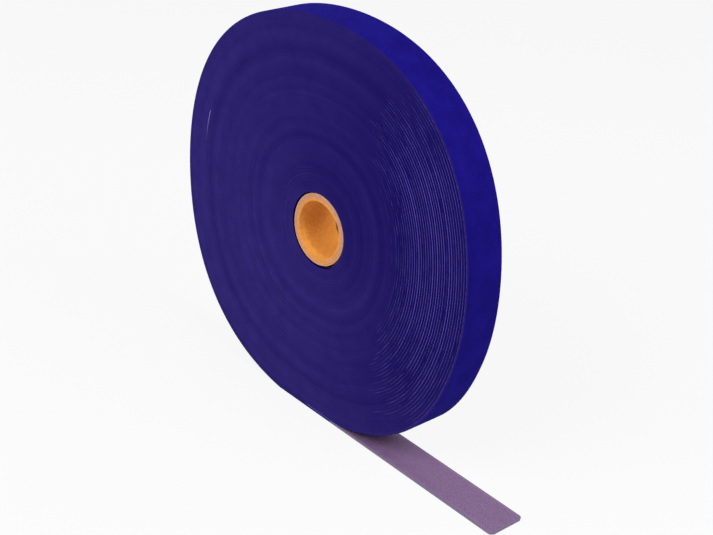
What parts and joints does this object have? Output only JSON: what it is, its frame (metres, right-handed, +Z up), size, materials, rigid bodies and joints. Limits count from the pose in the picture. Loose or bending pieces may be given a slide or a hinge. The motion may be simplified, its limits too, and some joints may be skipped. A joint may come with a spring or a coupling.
{
  "type": "hook and loop tape roll",
  "caption": "Roll of back-to-back hook and loop tape on an open paperboard core, standing on its edge, with its free end drawn out flat from below and able to curl back on to the roll.",
  "frame": {"origin": "on the surface that the roll stands on, straight below the roll's middle, in the middle of the tape's width", "axes": "+X along the free end, away from the roll; +Y along the roll's axis; +Z up"},
  "size_m": [0.2204, 0.02, 0.1916],
  "materials": {
    "paperboard": "matte kraft paper",
    "adhesive_strip": "matte",
    "hook_web": "moulded hooks, satin",
    "loop_web": "brushed loop pile, matte"
  },
  "bodies": {
    "roll": {"core_tube": "paperboard", "starter_strip": "adhesive_strip", "wound_hook_web": "hook_web", "wound_loop_web": "loop_web"},
    "tail_link_1": {"tail_loop_web_1": "loop_web", "tail_hook_web_1": "hook_web"},
    "tail_link_2": {"tail_loop_web_2": "loop_web", "tail_hook_web_2": "hook_web"},
    "tail_link_3": {"tail_loop_web_3": "loop_web", "tail_hook_web_3": "hook_web"},
    "tail_link_4": {"tail_loop_web_4": "loop_web", "tail_hook_web_4": "hook_web"},
    "tail_link_5": {"tail_loop_web_5": "loop_web", "tail_hook_web_5": "hook_web"},
    "tail_link_6": {"tail_loop_web_6": "loop_web", "tail_hook_web_6": "hook_web"}
  },
  "joints": [
    {"name": "tail_bend_1", "type": "hinge", "parent": "roll", "child": "tail_link_1", "pos_m": [0.032, 0, 0.0008], "axis": [0, -1, 0], "range_deg": [0, 12]},
    {"name": "tail_bend_2", "type": "hinge", "parent": "tail_link_1", "child": "tail_link_2", "pos_m": [0.0474, 0, 0.0008], "axis": [0, -1, 0], "range_deg": [0, 12]},
    {"name": "tail_bend_3", "type": "hinge", "parent": "tail_link_2", "child": "tail_link_3", "pos_m": [0.0628, 0, 0.0008], "axis": [0, -1, 0], "range_deg": [0, 12]},
    {"name": "tail_bend_4", "type": "hinge", "parent": "tail_link_3", "child": "tail_link_4", "pos_m": [0.0782, 0, 0.0008], "axis": [0, -1, 0], "range_deg": [0, 12]},
    {"name": "tail_bend_5", "type": "hinge", "parent": "tail_link_4", "child": "tail_link_5", "pos_m": [0.0936, 0, 0.0008], "axis": [0, -1, 0], "range_deg": [0, 12]},
    {"name": "tail_bend_6", "type": "hinge", "parent": "tail_link_5", "child": "tail_link_6", "pos_m": [0.109, 0, 0.0008], "axis": [0, -1, 0], "range_deg": [0, 12]}
  ],
  "couplings": [
    {"joint": "tail_bend_2", "follows": "tail_bend_1", "ratio": 1},
    {"joint": "tail_bend_3", "follows": "tail_bend_1", "ratio": 1},
    {"joint": "tail_bend_4", "follows": "tail_bend_1", "ratio": 1},
    {"joint": "tail_bend_5", "follows": "tail_bend_1", "ratio": 1},
    {"joint": "tail_bend_6", "follows": "tail_bend_1", "ratio": 1}
  ]
}
